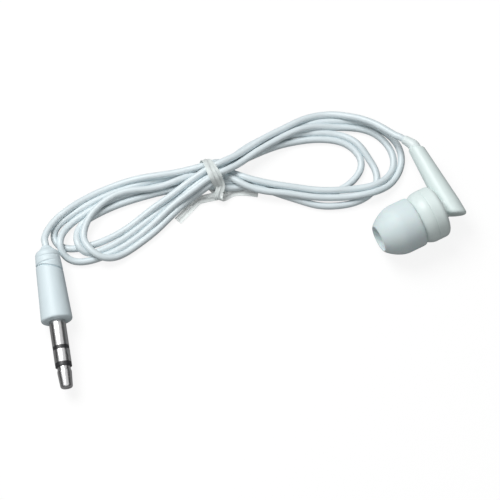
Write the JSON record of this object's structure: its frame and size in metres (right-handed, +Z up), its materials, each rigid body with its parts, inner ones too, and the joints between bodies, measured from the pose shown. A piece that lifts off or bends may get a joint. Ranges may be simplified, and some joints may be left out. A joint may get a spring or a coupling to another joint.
{
  "type": "wired earphone",
  "caption": "Single in-ear earphone with a silicone tip and stem housing, on a thin cord wound in a tied figure-eight hank, with a 3.5 mm plug.",
  "frame": {"origin": "centre of the underside of the earpiece's own box (housing, tip, stem and strain relief), on the table it lies on", "axes": "+X along the housing's barrel from the ear towards the rear wall, +Y along the stem towards its cord end, +Z up from the table"},
  "size_m": [0.0924, 0.0441, 0.0114],
  "materials": {
    "silicone_tip": "soft satin silicone, slightly translucent",
    "shell_plastic": "moulded ABS, soft gloss",
    "relief_pvc": "soft satin PVC",
    "cord_pvc": "satin PVC jacket",
    "plug_plastic": "moulded PVC, soft gloss",
    "mould_plastic": "hard natural moulding",
    "plug_nickel": "polished nickel plate",
    "plug_black": "black moulding",
    "steel_mesh": "fine punched sheet",
    "plated_steel": "zinc plated",
    "magnet_nickel": "nickel plated, dull",
    "copper_wire": "enamelled copper winding",
    "clear_film": "thin formed film",
    "dark_foam": "open foam",
    "frame_plastic": "moulded",
    "damping_paper": "fibrous",
    "board_green": "coated board",
    "solder": "bright solder",
    "red_lead": "enamel",
    "copper_lead": "enamel",
    "crimp_metal": "formed sheet",
    "tie_film": "translucent film, slightly glossy",
    "tie_steel": "thin soft wire"
  },
  "bodies": {
    "earpiece": {"nozzle_mesh": "steel_mesh", "front_shell": "shell_plastic", "rear_shell": "shell_plastic", "strain_relief": "relief_pvc", "front_gasket": "dark_foam", "driver_cover": "plated_steel", "diaphragm_surround": "clear_film", "top_plate": "plated_steel", "magnet": "magnet_nickel", "yoke": "plated_steel", "driver_frame": "frame_plastic", "damping_ring": "damping_paper", "terminal_board": "board_green", "solder_joints": "solder", "signal_lead": "red_lead", "ground_lead": "copper_lead", "cord_crimp": "crimp_metal", "cord_in_stem": "cord_pvc", "plug_grip": "plug_plastic", "plug_inner_mould": "mould_plastic", "plug_sleeve": "plug_nickel", "plug_ring": "plug_nickel", "plug_point": "plug_nickel", "sleeve_insulator": "plug_black", "point_insulator": "plug_black", "plug_solder": "solder", "plug_signal_wire": "red_lead", "plug_ground_wire": "copper_lead", "cord_in_plug": "cord_pvc", "cord_lead_earpiece": "cord_pvc", "cord_hank": "cord_pvc", "cord_lead_plug": "cord_pvc", "tie_film": "tie_film", "tie_wire": "tie_steel"},
    "ear_tip": {"ear_tip": "silicone_tip"},
    "voice_coil": {"voice_coil": "copper_wire", "diaphragm_dome": "clear_film"}
  },
  "joints": [
    {"name": "tip_pull", "type": "slide", "parent": "earpiece", "child": "ear_tip", "axis": [-1, 0, 0], "range_m": [0, 0.012]},
    {"name": "coil_travel", "type": "slide", "parent": "earpiece", "child": "voice_coil", "axis": [1, 0, 0], "range_m": [-0.00015, 0.00015], "stiffness_N_per_m": 200}
  ]
}
